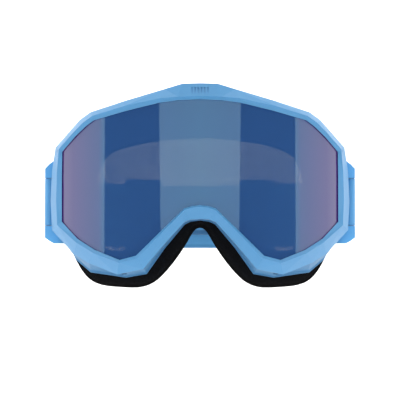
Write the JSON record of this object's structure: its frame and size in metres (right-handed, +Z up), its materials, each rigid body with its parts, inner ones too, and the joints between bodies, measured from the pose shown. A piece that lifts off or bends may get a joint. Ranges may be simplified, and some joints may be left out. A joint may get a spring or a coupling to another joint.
{
  "type": "ski goggles",
  "caption": "Ski goggles with a faceted blue front, a mirrored double lens, a padded face seal, hinged strap arms and an adjustable elastic strap.",
  "frame": {"origin": "middle of the face seal: on the mirror plane, level with the strap's middle, at the depth where the padding meets the brow", "axes": "+Z up, -Y the way the wearer looks, +X the wearer's left"},
  "size_m": [0.183, 0.2323, 0.1154],
  "materials": {
    "front_plastic": "matte moulded facets",
    "mirror_lens": "blue mirror coating",
    "clear_lens": "clear, anti-fog coated",
    "gasket_foam": "closed-cell foam",
    "soft_frame": "matte soft moulding",
    "vent_foam": "open-cell filter foam",
    "pad_foam": "black face foam",
    "pad_liner": "soft brushed fleece",
    "webbing": "woven elastic",
    "grip_silicone": "printed silicone",
    "arm_plastic": "matte moulded",
    "pin_steel": "drawn wire",
    "slider_plastic": "matte moulded"
  },
  "bodies": {
    "goggles": {"front_frame": "front_plastic", "outer_lens": "mirror_lens", "lens_gasket": "gasket_foam", "inner_lens": "clear_lens", "inner_frame": "soft_frame", "brow_vent_foam": "vent_foam", "cheek_vent_foam_left": "vent_foam", "cheek_vent_foam_right": "vent_foam", "face_pad_base": "pad_foam", "face_pad_core": "pad_foam", "face_pad_liner": "pad_liner", "strap_band": "webbing", "strap_grip_strips": "grip_silicone", "hinge_pin_left": "pin_steel", "strap_tail_left": "webbing", "hinge_pin_right": "pin_steel", "strap_tail_right": "webbing"},
    "arm_left": {"strap_arm_left": "arm_plastic", "strap_loop_left": "webbing"},
    "arm_right": {"strap_arm_right": "arm_plastic", "strap_loop_right": "webbing"},
    "slider_left": {"strap_slider_left": "slider_plastic"},
    "slider_right": {"strap_slider_right": "slider_plastic"}
  },
  "joints": [
    {"name": "arm_swing_left", "type": "hinge", "parent": "goggles", "child": "arm_left", "pos_m": [0.0886, 0.01263, 0], "axis": [0, 0, -1], "range_deg": [-8, 20]},
    {"name": "strap_adjust_left", "type": "hinge", "parent": "goggles", "child": "slider_left", "pos_m": [0, 0.105, 0], "axis": [0, 0, -1], "range_deg": [-12, 12]},
    {"name": "arm_swing_right", "type": "hinge", "parent": "goggles", "child": "arm_right", "pos_m": [-0.0886, 0.01263, 0], "axis": [0, 0, 1], "range_deg": [-8, 20]},
    {"name": "strap_adjust_right", "type": "hinge", "parent": "goggles", "child": "slider_right", "pos_m": [0, 0.105, 0], "axis": [0, 0, 1], "range_deg": [-12, 12]}
  ]
}
